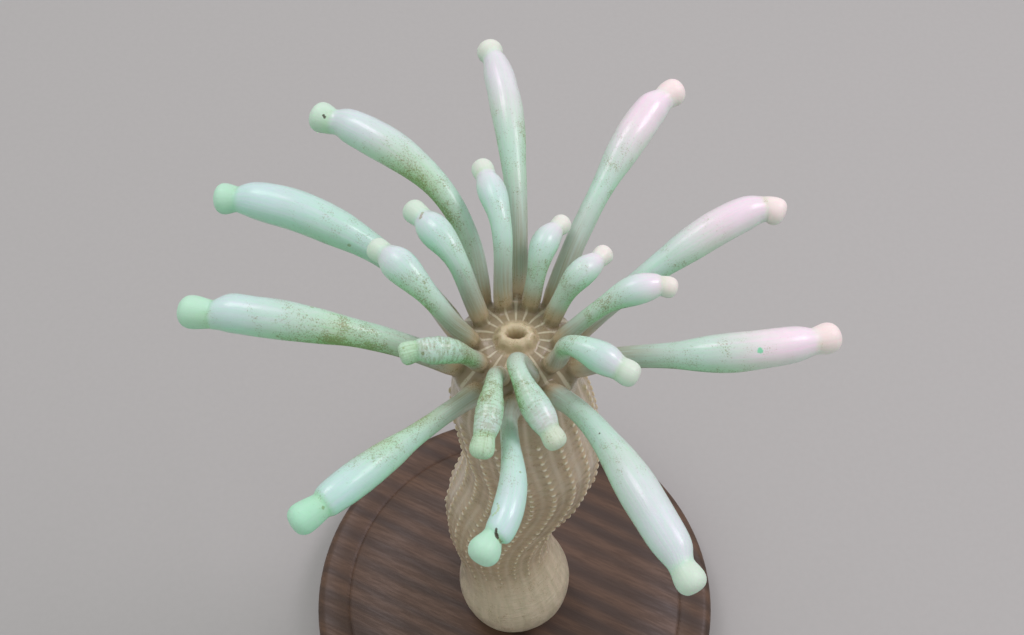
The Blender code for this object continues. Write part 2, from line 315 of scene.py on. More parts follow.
innerValues = dict(
    first=35,
    root=4.75 * mm,
    depth=6.0 * mm,
    rise=65,
    lift=7.5 * mm,
    dip=12,
    rootRadius=1.1 * mm,
    hole=1.02 * mm,
    stalk=0.6,
    patchRow=5.2,
    pinkLightFade=(0.12, 0.62),
    poses=(
        (4, 4, 12, 12.0, -0.6, 4.5, 7.0, 3.1, 2.3),
        (-4, -6, -15, 12.5, -0.4, 4.5, 7.0, 3.1, 2.3),
        (-4.9, -13, 6.3, 17.4, 2.3, 10.2, 9.2, 3.4, 2.55),
        (-8.9, -2.6, -3.9, 15.7, 2.1, 9.2, 8.2, 3.7, 2.7),
        (-20.5, 28, -20.1, 15.4, 3.0, 6.2, 7.6, 3.6, 2.6),
        (-4.6, 24, -17.9, 12.3, 1.6, 4.1, 7.0, 3.0, 2.45),
        (8.4, 2.4, 0.7, 17.2, 2.6, 8.1, 7.0, 2.9, 2.5),
        (-3.7, -5.6, 17.6, 15.9, 1.6, 14.0, 7.0, 3.2, 2.4),
        (1.3, -4.2, 9.7, 13.8, 1.6, 9.5, 6.9, 3.4, 2.75),
        (7.8, -3.7, -15.1, 15.9, 1.7, 3.8, 8.0, 3.1, 2.3),
    ),
    forms=(
        (0.9, 0.86, 0.86, 0, 0, 0.5, 0, 0.8),
        (0.9, 0.86, 0.86, 0, 0, 0.5, 0, 0.7),
        (1.0, 0.92, 0.88, -0.05, 0, 0.4, 0, 0.55),
        (1.35, 0.9, 0.82, -0.14, 0, 0.45, 0, 0.42),
        (0.8, 0.91, 0.75, -0.06, 0, 0.55, 0, 0.42),
        (0.75, 0.9, 0.64, -0.4, 0, 0.6, 1.0, 0.2),
        (1.05, 0.87, 0.86, -0.1, 0, 0.8, 0.85, 0.25),
        (0.85, 0.9, 0.9, -0.03, 0, 0.65, 0.5, 0.5),
        (0.9, 0.93, 0.95, -0.16, 0, 0.45, 0, 0.5),
        (0.7, 0.93, 0.92, 0.15, 0, 0.5, 0, 0.8),
    ),
    girthAt=(0.4, 0.9, 1.6, 2.6, 3.8, 5.2, 7.0),
    girths=(
        (1.16, 1.3, 1.48, 1.55, 1.42, 1.15, 1.0),
        (1.16, 1.3, 1.48, 1.55, 1.42, 1.15, 1.0),
        (1.18, 1.32, 1.52, 1.6, 1.53, 1.3, 1.12),
        (1.33, 1.57, 1.74, 1.8, 1.66, 1.38, 1.15),
        (1.34, 1.57, 1.8, 1.85, 1.68, 1.4, 1.15),
        (1.28, 1.42, 1.46, 1.43, 1.3, 1.08, 0.95),
        (1.2, 1.31, 1.38, 1.38, 1.24, 1.02, 0.9),
        (1.22, 1.4, 1.5, 1.56, 1.42, 1.13, 0.98),
        (1.36, 1.55, 1.68, 1.67, 1.42, 1.15, 1.02),
        (1.28, 1.41, 1.57, 1.63, 1.5, 1.16, 0.95),
    ),
)
tentacleValues = dict(
    apart=36,  # degrees between the tentacles of one circle
    spineSteps=60,
    sink=0.3 * mm,  # how far the root's ring lies under its place
    rootRing=0.8 * mm,  # the first ring above the root
    rootBlend=5 * mm,  # where the stalk widens into the disc
    leavesOver=3 * mm,  # how far it keeps the direction that it leaves the disc in
    asideOver=(-0.3, 1.3),  # where a knob's shift aside fades, millimetres behind the neck
    cantAt=(0.9, 0.8),  # place and width of a canted shoulder, millimetres behind the neck
    limbOver=(3.5 * mm, 0.6 * mm),  # where the disc's colours take over, from the root
    duskyOver=(0.9, 1.6),  # these four are shares of the swollen length
    foldsEnd=(0.9, 1.1),
    siltOver=(0.22, 0.85),
    siltEnds=(1.0, 1.5),
    thinning=6.0,  # millimetres from the last girth to the thin stalk
    ringStep=0.95 * mm,
    fill=1.042,  # makes up for what the subdivision takes off a ring
    behindNeck=(2.6, 1.9, 1.3, 0.85, 0.5, 0.25, 0.08),  # rings of the shoulder, millimetres behind the neck
    collar=(0.0, -0.14, -0.36),
    foldStep=0.25 * mm,
    fold=0.03,  # share of the radius
    foldTurns=7.0,  # radians for each millimetre
    dome=(0.3, 0.52, 0.72, 0.87),  # rings of the knob's front, share of its depth
    square=2.3,  # how full the knob's front is
    uneven=0.05,
    dimples={15: -0.15, 16: -0.3},  # tips that dip, by tentacle
    tip=0.2,
    drifts={4: 0.6, 6: 0.3, 7: -0.6, 8: -0.7, 15: 0.5, 17: -0.2, 18: -0.4},  # the side that holds more silt
)


def spineOf(ring, number, pose):
    lean, turn, sweep, reach, height, grip, _, _, knob = pose
    azimuth = ring["first"] + tentacleValues["apart"] * number
    rise, dip = math.radians(ring["rise"]), math.radians(ring["dip"])
    crown = up * crownPlane
    root = crown + heading(azimuth) * ring["root"] - up * ring["depth"]
    leaving = heading(azimuth + turn) * math.cos(rise) + up * math.sin(rise)
    outwards = heading(azimuth + lean + sweep) * math.cos(dip) - up * math.sin(dip)
    middle = crown + heading(azimuth + lean) * (reach * mm) + up * (height * mm)
    arrive = middle - outwards * (grip * mm)
    steps = tentacleValues["spineSteps"]
    points = []
    for step in range(steps + 1):
        t = step / steps
        near = root * (1 - t) ** 3 + (root + leaving * ring["lift"]) * (3 * t * (1 - t) ** 2)
        points.append(near + arrive * (3 * t * t * (1 - t)) + middle * t**3)
    points.append(middle + outwards * (knob / 2 * mm))
    lengths = [0.0]
    for before, after in zip(points, points[1:]):
        lengths.append(lengths[-1] + (after - before).length)
    return points, lengths


def alongSpine(points, lengths, back):
    s = min(lengths[-1], max(0.0, lengths[-2] - back))
    k = next(k for k in range(1, len(lengths)) if lengths[k] >= s)
    step = points[k] - points[k - 1]
    t = (s - lengths[k - 1]) / (lengths[k] - lengths[k - 1])
    return points[k - 1] + step * t, step.normalized()


def knobRadius(neckAt, neck, front, x):  # all in knob radii, from the knob's middle backwards
    widest = front - 1
    if x <= widest:
        full = tentacleValues["square"]
        return (1 - min(1.0, (widest - x) / front) ** full) ** (1 / full)
    t = (x - widest) / (neckAt - widest)
    return 1 - (1 - neck) * math.sin(math.pi / 2 * min(1.0, t)) ** 2


def tentacleRadius(ring, number, back, total):
    pose, form = ring["poses"][number], ring["forms"][number]
    knob, neckAt = pose[8] / 2 * mm, form[0] * mm
    if back < neckAt:
        return knob * knobRadius(neckAt / knob, form[1], form[2], back / knob)
    stalk = pose[7] / 2 * ring["stalk"]
    girths = list(zip(ring["girthAt"], ring["girths"][number]))
    keys = [(0, knob * form[1] / mm)] + girths
    keys += [(girths[-1][0] + tentacleValues["thinning"] * k, stalk) for k in (1, 9)]  # thin from there on
    thin = through(keys, (back - neckAt) / mm) * mm
    return thin + (ring["rootRadius"] - thin) * smoothStep(total - tentacleValues["rootBlend"], total, back)


def station(middle, along, wide):
    side = up.cross(along).normalized()
    axes = Matrix((side * wide, along.cross(side) * wide, along * wide)).transposed()
    return Matrix.Translation(middle) @ axes.to_4x4()


def roundSpot(x, y):  # a point of a square patch on the round patch
    if abs(x) < 1e-6 and abs(y) < 1e-6:
        return Vector((0, 0, 0))
    if abs(x) > abs(y):
        turn = math.pi / 4 * y / x
        return Vector((x * math.cos(turn), x * math.sin(turn), 0))
    turn = math.pi / 4 * x / y
    return Vector((y * math.sin(turn), y * math.cos(turn), 0))


def selectPatch(bm, lowRow, firstSpoke):  # four spokes by four rings, around nine faces
    rowLayer, spokeLayer = bm.verts.layers.int["row"], bm.verts.layers.int["spoke"]
    spokes = [(firstSpoke + k) % bodyValues["spokes"] for k in range(4)]
    spots = {}
    for vertex in bm.verts:
        j = vertex[rowLayer] - lowRow
        if vertex[spokeLayer] in spokes and 0 <= j <= 3:
            spots[vertex] = roundSpot(spokes.index(vertex[spokeLayer]) / 1.5 - 1, j / 1.5 - 1)
    for face in bm.faces:
        face.select_set(False)
    for face in bm.faces:
        if len(face.verts) == 4 and all(v in spots for v in face.verts):
            face.select_set(True)
    return spots


def tentacleBacks(pose, form, total):  # ring places, from the root out to the tip
    values = tentacleValues
    knob, neckAt = pose[8] / 2 * mm, form[0] * mm
    behind = [neckAt + x * mm for x in values["behindNeck"]]
    if form[6]:
        behind = behind[2:]
    step = values["foldStep"] if form[6] else values["ringStep"]
    top, low = total - values["rootRing"], behind[0] + 0.7 * step
    count = max(4, round((top - low) / step))
    backs = [top + (low - top) * k / count for k in range(count + 1)] + behind
    backs += [neckAt + x * mm for x in values["collar"]]
    widest = form[2] - 1
    middle = neckAt + values["collar"][-1] * mm
    backs += [middle + (widest * knob - middle) * k / 2 for k in (1, 2)]
    return backs + [knob * (widest - form[2] * x) for x in values["dome"]]


def ringTones(ring, number, who, back, total):  # what the flesh reads on one ring
    values = tentacleValues
    pose, form = ring["poses"][number], ring["forms"][number]
    knob, swollen, neckAt = pose[8] / 2 * mm, pose[6] * mm, form[0] * mm

    def overLength(span):
        return smoothStep(span[0] * swollen, span[1] * swollen, back)

    clean = 0.9 - 0.5 * form[6]  # folds hold silt nearer the knob
    settled = 1 - clean + clean * overLength(values["siltOver"])
    settled *= 1 - 0.75 * overLength(values["siltEnds"])
    return dict(
        who=who,
        limb=1 - smoothStep(total - values["limbOver"][0], total - values["limbOver"][1], back),
        disc=0.0,
        knob=1 - smoothStep(neckAt - 0.3 * knob, neckAt + 0.4 * knob, back),
        dusky=overLength(values["duskyOver"]),
        dust=form[5] * settled,
        folds=form[6] * (1 - overLength(values["foldsEnd"])),
        crease=math.exp(-(((back - neckAt) / (0.2 * knob)) ** 2)),
        # painted light: pinkish light on the crown's right side and toward the tentacle ends
        pinkLight=form[7] * (1 - 0.9 * overLength(ring["pinkLightFade"])),
    )


def growTentacle(skin, rows, ring, number, who):
    values = tentacleValues
    pose, form = ring["poses"][number], ring["forms"][number]
    points, lengths = spineOf(ring, number, pose)
    total = lengths[-2]
    knob, neckAt = pose[8] / 2 * mm, form[0] * mm
    azimuth = ring["first"] + tentacleValues["apart"] * number
    spacing = 360 / bodyValues["spokes"]
    firstSpoke = round((azimuth - 1.5 * spacing - bodyValues["firstSpoke"]) / spacing)
    bm = bmesh.from_edit_mesh(skin.data)
    lowRow = min(range(len(rows)), key=lambda k: abs(rows[k]["depth"] + ring["patchRow"]))
    spots = selectPatch(bm, lowRow, firstSpoke)
    rise = math.radians(ring["rise"])
    out = heading(azimuth) * math.cos(rise) + up * math.sin(rise)
    ground = station(points[0] - out * values["sink"], out, ring["hole"])
    spotLayer = bm.verts.layers.float_vector["spot"]
    for vertex, spot in spots.items():
        vertex.co = ground @ spot
        vertex[spotLayer] = spot
    backs = tentacleBacks(pose, form, total)
    for index, back in enumerate(backs):
        bpy.ops.mesh.extrude_region_move()
        bm = bmesh.from_edit_mesh(skin.data)
        floats, spotLayer = bm.verts.layers.float, bm.verts.layers.float_vector["spot"]
        around, rowLayer = bm.verts.layers.float_vector["around"], bm.verts.layers.int["row"]
        middle, along = alongSpine(points, lengths, back)
        if back > total - values["leavesOver"]:
            along = along.lerp(out, smoothStep(total - values["leavesOver"], total, back)).normalized()
        radius = tentacleRadius(ring, number, back, total) * values["fill"]
        fadeFrom, fadeTo = values["asideOver"]
        aside = form[3] * mm * (1 - smoothStep(neckAt + fadeFrom * mm, neckAt + fadeTo * mm, back))
        cantAt, cantOver = values["cantAt"]
        cant = form[4] * mm * math.exp(-(((back - neckAt - cantAt * mm) / (cantOver * mm)) ** 2))
        place = station(middle + up.cross(along).normalized() * aside, along, radius)
        tip = values["dimples"].get(who, values["tip"]) if index == len(backs) - 1 else 0.0
        tones = ringTones(ring, number, who, back, total)
        fold = values["fold"] * tones["folds"] * smoothStep(neckAt, neckAt + 0.8 * mm, back)
        uneven = values["uneven"] * smoothStep(-knob, neckAt + 3 * mm, back)
        drift = values["drifts"].get(who, 0.0)
        for vertex in [v for v in bm.verts if v.select]:
            spot = Vector(vertex[spotLayer])
            lump = noise.noise(Vector((spot.x * 0.9, spot.y * 0.9, back / mm * 0.3 + 11 * who)))
            wave = math.cos(back / mm * values["foldTurns"] + 3.5 * lump + 1.4 * spot.x)
            swell = 1 + uneven * lump + fold * wave
            bulge = tip * (1 - spot.length)
            vertex.co = place @ (spot * swell + up * bulge) + along * (cant * spot.x)
            vertex[around] = Vector((spot.x, spot.y, back / mm))
            vertex[rowLayer] = -1
            for name, value in tones.items():
                vertex[floats[name]] = value
            vertex[floats["dust"]] = tones["dust"] * (1 + drift * spot.x)
    bmesh.update_edit_mesh(skin.data)


rows = bodyRows(bodyValues)
skin = growBody(bodyValues, rows)
print("body grown:", len(rows), "rings")
for ring, offset in ((outerValues, 0), (innerValues, 10)):
    for number in range(10):
        growTentacle(skin, rows, ring, number, offset + number + 1)
bpy.ops.object.mode_set(mode="OBJECT")
print("tentacles grown:", len(skin.data.polygons), "faces")

# warts stand in twenty rows down the column
wartValues = dict(
    bands=(
        (7, 16, 0.07, 0.2, 0.17, 0.13), (16, 30, 0.08, 0.19, 0.17, 0.11), (30, 45, 0.12, 0.15, 0.16, 0.09),
        (45, 58, 0.18, 0.1, 0.14, 0.06),
    ),  # depths of each band, then thickness and height of two insets, millimetres
)


def raiseWarts(skin, values):
    selectOnly(skin)
    bpy.ops.object.mode_set(mode="EDIT")
    bpy.ops.mesh.select_mode(type="FACE")
    for low, high, firstInset, firstRise, nextInset, nextRise in values["bands"]:
        bm = bmesh.from_edit_mesh(skin.data)
        layers = bm.verts.layers
        rowLayer, spokeLayer = layers.int["row"], layers.int["spoke"]
        around = layers.float_vector["around"]
        for face in bm.faces:
            face.select_set(False)
        for face in bm.faces:
            depth = sum(v[around].z for v in face.verts) / len(face.verts)
            if len(face.verts) != 4 or not low < depth <= high or any(v[rowLayer] < 0 for v in face.verts):
                continue
            spoke, row = min(v[spokeLayer] for v in face.verts), min(v[rowLayer] for v in face.verts)
            if spoke % 3 == 1 and (row + spoke // 3) % 2 == 0:  # every third spoke, every other ring
                face.select_set(True)
        bmesh.update_edit_mesh(skin.data)
        bpy.ops.mesh.inset(thickness=firstInset * mm, depth=firstRise * mm, use_individual=True)
        bpy.ops.mesh.inset(thickness=nextInset * mm, depth=nextRise * mm, use_individual=True)
        bm = bmesh.from_edit_mesh(skin.data)
        wart = bm.verts.layers.float["wart"]
        for vertex in [v for v in bm.verts if v.select]:
            vertex[wart] = 1.0
    bpy.ops.object.mode_set(mode="OBJECT")


raiseWarts(skin, wartValues)
applyModifier(skin, "SUBSURF", levels=1, render_levels=1)
bpy.ops.object.shade_smooth()
print("skin finished:", len(skin.data.polygons), "faces")

# the base is turned, with a groove round its top
baseValues = dict(
    sides=144,
    topEdge=1.5 * mm,
    edgeSteps=6,
    bottomEdge=0.4 * mm,
    bottomSteps=2,
    grooveAt=3.2 * mm,  # in from the rounded edge
    groove=0.5 * mm,
    grooveDepth=0.28 * mm,
    flatRing=8 * mm,  # a ring of faces inside the groove
    smooth=32,  # degrees
)


def makeBase(values):
    low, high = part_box("stand_base")
    radius, height = (high.x - low.x) / 2, high.z - low.z
    bpy.ops.object.select_all(action="DESELECT")
    bpy.ops.mesh.primitive_cylinder_add(
        vertices=values["sides"], radius=radius, depth=height, location=(0, 0, low.z + height / 2)
    )
    base = bpy.context.object
    base.name = "stand_base_turned"
    bpy.ops.object.transform_apply(location=True, rotation=True, scale=True)
    bpy.ops.object.mode_set(mode="EDIT")
    bpy.ops.mesh.select_mode(type="EDGE")
    top = (high.z, values["topEdge"], values["edgeSteps"])
    bottom = (low.z, values["bottomEdge"], values["bottomSteps"])
    for level, width, steps in (top, bottom):
        bm = bmesh.from_edit_mesh(base.data)
        for edge in bm.edges:
            edge.select_set(all(abs(v.co.z - level) < 0.01 * mm for v in edge.verts))
        bmesh.update_edit_mesh(base.data)
        bpy.ops.mesh.bevel(offset=width, segments=steps, profile=0.5)
    bpy.ops.mesh.select_mode(type="FACE")
    bm = bmesh.from_edit_mesh(base.data)
    for face in bm.faces:
        face.select_set(face.normal.z > 0.99 and len(face.verts) > 8)
    bmesh.update_edit_mesh(base.data)
    bpy.ops.mesh.inset(thickness=values["grooveAt"], depth=0)
    bpy.ops.mesh.inset(thickness=values["groove"], depth=-values["grooveDepth"])
    bpy.ops.mesh.inset(thickness=values["groove"], depth=values["grooveDepth"])
    bpy.ops.mesh.inset(thickness=values["flatRing"], depth=0)
    bpy.ops.object.mode_set(mode="OBJECT")
    bpy.ops.object.shade_smooth_by_angle(angle=math.radians(values["smooth"]))
    return base


base = makeBase(baseValues)
print("base turned:", len(base.data.polygons), "faces")


# helpers and effects that the materials share
def addNode(tree, kind, values=None, **settings):
    node = tree.nodes.new(kind)
    for name, value in settings.items():
        setattr(node, name, value)
    for name, value in (values or {}).items():
        if isinstance(value, bpy.types.NodeSocket):
            tree.links.new(value, node.inputs[name])
        else:
            node.inputs[name].default_value = value
    return node


def calc(tree, operation, *values, clamp=False):
    node = addNode(tree, "ShaderNodeMath", dict(enumerate(values)), operation=operation, use_clamp=clamp)
    return node.outputs[0]


def spread(tree, value, low, high, toLow=0.0, toHigh=1.0):
    names = {"Value": value, "From Min": low, "From Max": high, "To Min": toLow, "To Max": toHigh}
    return addNode(tree, "ShaderNodeMapRange", names, interpolation_type="SMOOTHSTEP").outputs[0]


def blendColour(tree, factor, first, second, way="MIX"):
    node = addNode(tree, "ShaderNodeMix", {0: factor, 6: first, 7: second}, data_type="RGBA", blend_type=way)
    return node.outputs[2]


def makeGroup(name, sockets):
    tree = bpy.data.node_groups.new(name, "ShaderNodeTree")
    for label, (kind, default) in sockets.items():
        socket = tree.interface.new_socket(label, in_out="INPUT", socket_type="NodeSocket" + kind)
        if default is not None:
            socket.default_value = default
    tree.interface.new_socket("Mask", in_out="OUTPUT", socket_type="NodeSocketFloat")
    return tree, tree.nodes.new("NodeGroupInput").outputs, tree.nodes.new("NodeGroupOutput").inputs["Mask"]


def useGroup(tree, group, **values):
    return addNode(tree, "ShaderNodeGroup", values, node_tree=group).outputs["Mask"]


def noiseOf(tree, place, scale, detail, **more):
    values = {"Vector": place, "Scale": scale, "Detail": detail, **more}
    return addNode(tree, "ShaderNodeTexNoise", values).outputs[0]


def makeStreaks():  # fine lines that run along a tentacle, down the column or along the wood
    tree, given, mask = makeGroup(
        "streaks",
        dict(Around=("Vector", None), Across=("Float", 6.0), Along=("Float", 0.2), Shift=("Float", 0.0)),
    )
    parts = addNode(tree, "ShaderNodeSeparateXYZ", {"Vector": given["Around"]}).outputs
    x, y = (calc(tree, "MULTIPLY", part, given["Across"]) for part in (parts[0], parts[1]))
    z = calc(tree, "MULTIPLY_ADD", parts[2], given["Along"], given["Shift"])
    place = addNode(tree, "ShaderNodeCombineXYZ", {"X": x, "Y": y, "Z": z}).outputs[0]
    lines = noiseOf(tree, place, 1.0, 3.0, Roughness=0.62)
    tree.links.new(spread(tree, lines, 0.3, 0.7), mask)
    return tree


def makeSilt():  # grains that gather where Amount is high
    tree, given, mask = makeGroup(
        "silt",
        dict(Place=("Vector", None), Amount=("Float", 0.5), Grain=("Float", 2600.0), Patch=("Float", 420.0)),
    )
    fine = noiseOf(tree, given["Place"], given["Grain"], 3.0, Roughness=0.7)
    wide = noiseOf(tree, given["Place"], given["Patch"], 2.0)
    both = calc(tree, "ADD", calc(tree, "MULTIPLY", fine, 0.68), calc(tree, "MULTIPLY", wide, 0.32))
    level = calc(tree, "MULTIPLY_ADD", given["Amount"], -0.2, 0.6)
    grains = spread(tree, both, level, calc(tree, "ADD", level, 0.13))
    tree.links.new(calc(tree, "MULTIPLY", grains, spread(tree, given["Amount"], 0.0, 0.15)), mask)
    return tree


def makeClouds():  # slow change of tone
    tree, given, mask = makeGroup("clouds", dict(Place=("Vector", None), Size=("Float", 200.0)))
    soft = noiseOf(tree, given["Place"], given["Size"], 2.0)
    tree.links.new(spread(tree, soft, 0.3, 0.7), mask)
    return tree


def makeSpot():  # one ragged mark at a place
    tree, given, mask = makeGroup(
        "spot",
        dict(
            Place=("Vector", None),
            Centre=("Vector", None),
            Radius=("Float", 0.0004),
            Grain=("Float", 3000.0),
        ),
    )
    ends = {0: given["Place"], 1: given["Centre"]}
    apart = addNode(tree, "ShaderNodeVectorMath", ends, operation="DISTANCE").outputs["Value"]
    rough = noiseOf(tree, given["Place"], given["Grain"], 1.0)
    ratio = calc(tree, "DIVIDE", apart, given["Radius"])
    edge = calc(tree, "ADD", ratio, calc(tree, "MULTIPLY_ADD", rough, 0.9, -0.45))
    tree.links.new(spread(tree, edge, 1.25, 0.7), mask)
    return tree


streaks, silt, clouds, spot = makeStreaks(), makeSilt(), makeClouds(), makeSpot()
print("shared effects made")


def startMaterial(name, **settings):
    material = bpy.data.materials.new(name)
    material.use_nodes = True
    shader = material.node_tree.nodes["Principled BSDF"]
    for label, value in settings.items():
        shader.inputs[label].default_value = value
    return material, material.node_tree, shader


def finishMaterial(tree, shader, height, distance, strength, **links):
    bump = addNode(tree, "ShaderNodeBump", {"Height": height, "Distance": distance, "Strength": strength})
    tree.links.new(bump.outputs[0], shader.inputs["Normal"])
    for label, value in links.items():
        tree.links.new(value, shader.inputs[label])


# colours and strengths of the flesh
fleshValues = dict(
    # painted light: mint where greenish shade lies on the crown's left, the pink colours where pinkish light
    # falls on its right
    mint=(0.58, 0.77, 0.79, 1),
    pinkLight=(0.92, 0.74, 0.87, 1),
    # painted shade: the colours that the tentacles' lower sides take, as if in shade
    shadeMint=(0.33, 0.84, 0.55, 1),
    shadePink=(0.66, 0.84, 0.74, 1),
    knobMint=(0.46, 0.78, 0.6, 1),
    knobPinkLight=(0.93, 0.78, 0.78, 1),
    stalk=(0.38, 0.36, 0.24, 1),
    disc=(0.33, 0.27, 0.18, 1),
    discLine=(0.66, 0.62, 0.5, 1),
    lips=(0.62, 0.52, 0.38, 1),
    capitulum=(0.36, 0.29, 0.19, 1),
    scapus=(0.56, 0.43, 0.31, 1),
    physa=(0.74, 0.64, 0.53, 1),
    wart=(0.8, 0.76, 0.64, 1),
    haze=(0.8, 0.83, 0.42, 1),  # haze, silt and moss tint what they lie on
    silt=(0.5, 0.36, 0.19, 1),
    moss=(0.5, 0.47, 0.24, 1),
    # grit also paints the shade inside a small pit on tentacle 4's knob
    gritAndPitShade=(0.05, 0.035, 0.015, 1),
    algae=(0.19, 0.68, 0.4, 1),
    under=0.85,  # how far the lower side takes the painted shade colour
    streak=0.26,
    knobUnderShade=0.45,
    knobStreak=0.12,
    stalkStreak=0.4,
    discRays=0.8,
    columnStreak=0.35,
    columnRidge=0.45,
    creaseShade=0.25,
    underSilt=0.35,
    bodySilt=0.28,
    collarSilt=0.25,
    hazeDepth=0.8,
    grainDepth=0.75,
    boldMark=0.85,
    softMark=0.65,
    boldColours=("gritAndPitShade", "algae"),
    marks=(  # tentacle, millimetres behind the knob's middle, degrees from the top, radius, colour
        # the two grit marks on tentacle 4's knob paint the shade inside a small pit
        (10, 7.4, -31, 0.3, "algae"), (4, 0.65, 28, 0.19, "gritAndPitShade"), (4, 0.45, 24, 0.15, "gritAndPitShade"),
        (8, 1.75, 4, 0.13, "gritAndPitShade"), (8, 1.62, 9, 0.14, "gritAndPitShade"), (8, 1.5, 14, 0.16, "gritAndPitShade"),
        (8, 1.38, 21, 0.18, "gritAndPitShade"), (8, 1.28, 29, 0.18, "gritAndPitShade"), (8, 1.2, 37, 0.17, "gritAndPitShade"),
        (8, 1.14, 46, 0.17, "moss"), (8, 1.1, 56, 0.18, "silt"), (8, 1.1, 66, 0.18, "silt"),
        (8, 1.1, 77, 0.18, "silt"), (8, 4.2, -43, 0.12, "moss"), (8, 3.95, -35, 0.14, "haze"),
        (8, 3.7, -30, 0.15, "haze"), (8, 3.45, -31, 0.15, "haze"), (8, 3.2, -37, 0.16, "haze"),
        (8, 3.0, -48, 0.16, "haze"), (8, 7.8, 30, 0.13, "moss"), (6, 12.0, -44, 0.24, "moss"),
        (6, 12.5, -50, 0.18, "moss"), (9, 16.5, -22, 0.11, "gritAndPitShade"), (14, 1.7, 4, 0.2, "moss"),
        (14, 2.1, 24, 0.24, "silt"), (14, 1.9, 14, 0.2, "silt"), (16, 1.2, 44, 0.18, "moss"),
        (16, -0.4, 0, 0.14, "moss"), (7, 1.6, 35, 0.18, "moss"), (5, 14.6, 66, 0.2, "moss"),
    ),
)


def markPlace(who, back, turn):  # a point on the skin of a tentacle
    ring, number = (outerValues, who - 1) if who <= 10 else (innerValues, who - 11)
    form = ring["forms"][number]
    points, lengths = spineOf(ring, number, ring["poses"][number])
    middle, along = alongSpine(points, lengths, back * mm)
    side = up.cross(along).normalized()
    angle = math.radians(turn)
    aside = form[3] * mm * (1 - smoothStep(*tentacleValues["asideOver"], back - form[0]))
    radius = tentacleRadius(ring, number, back * mm, lengths[-2])
    return middle + side * (math.sin(angle) * radius + aside) + along.cross(side) * (math.cos(angle) * radius)


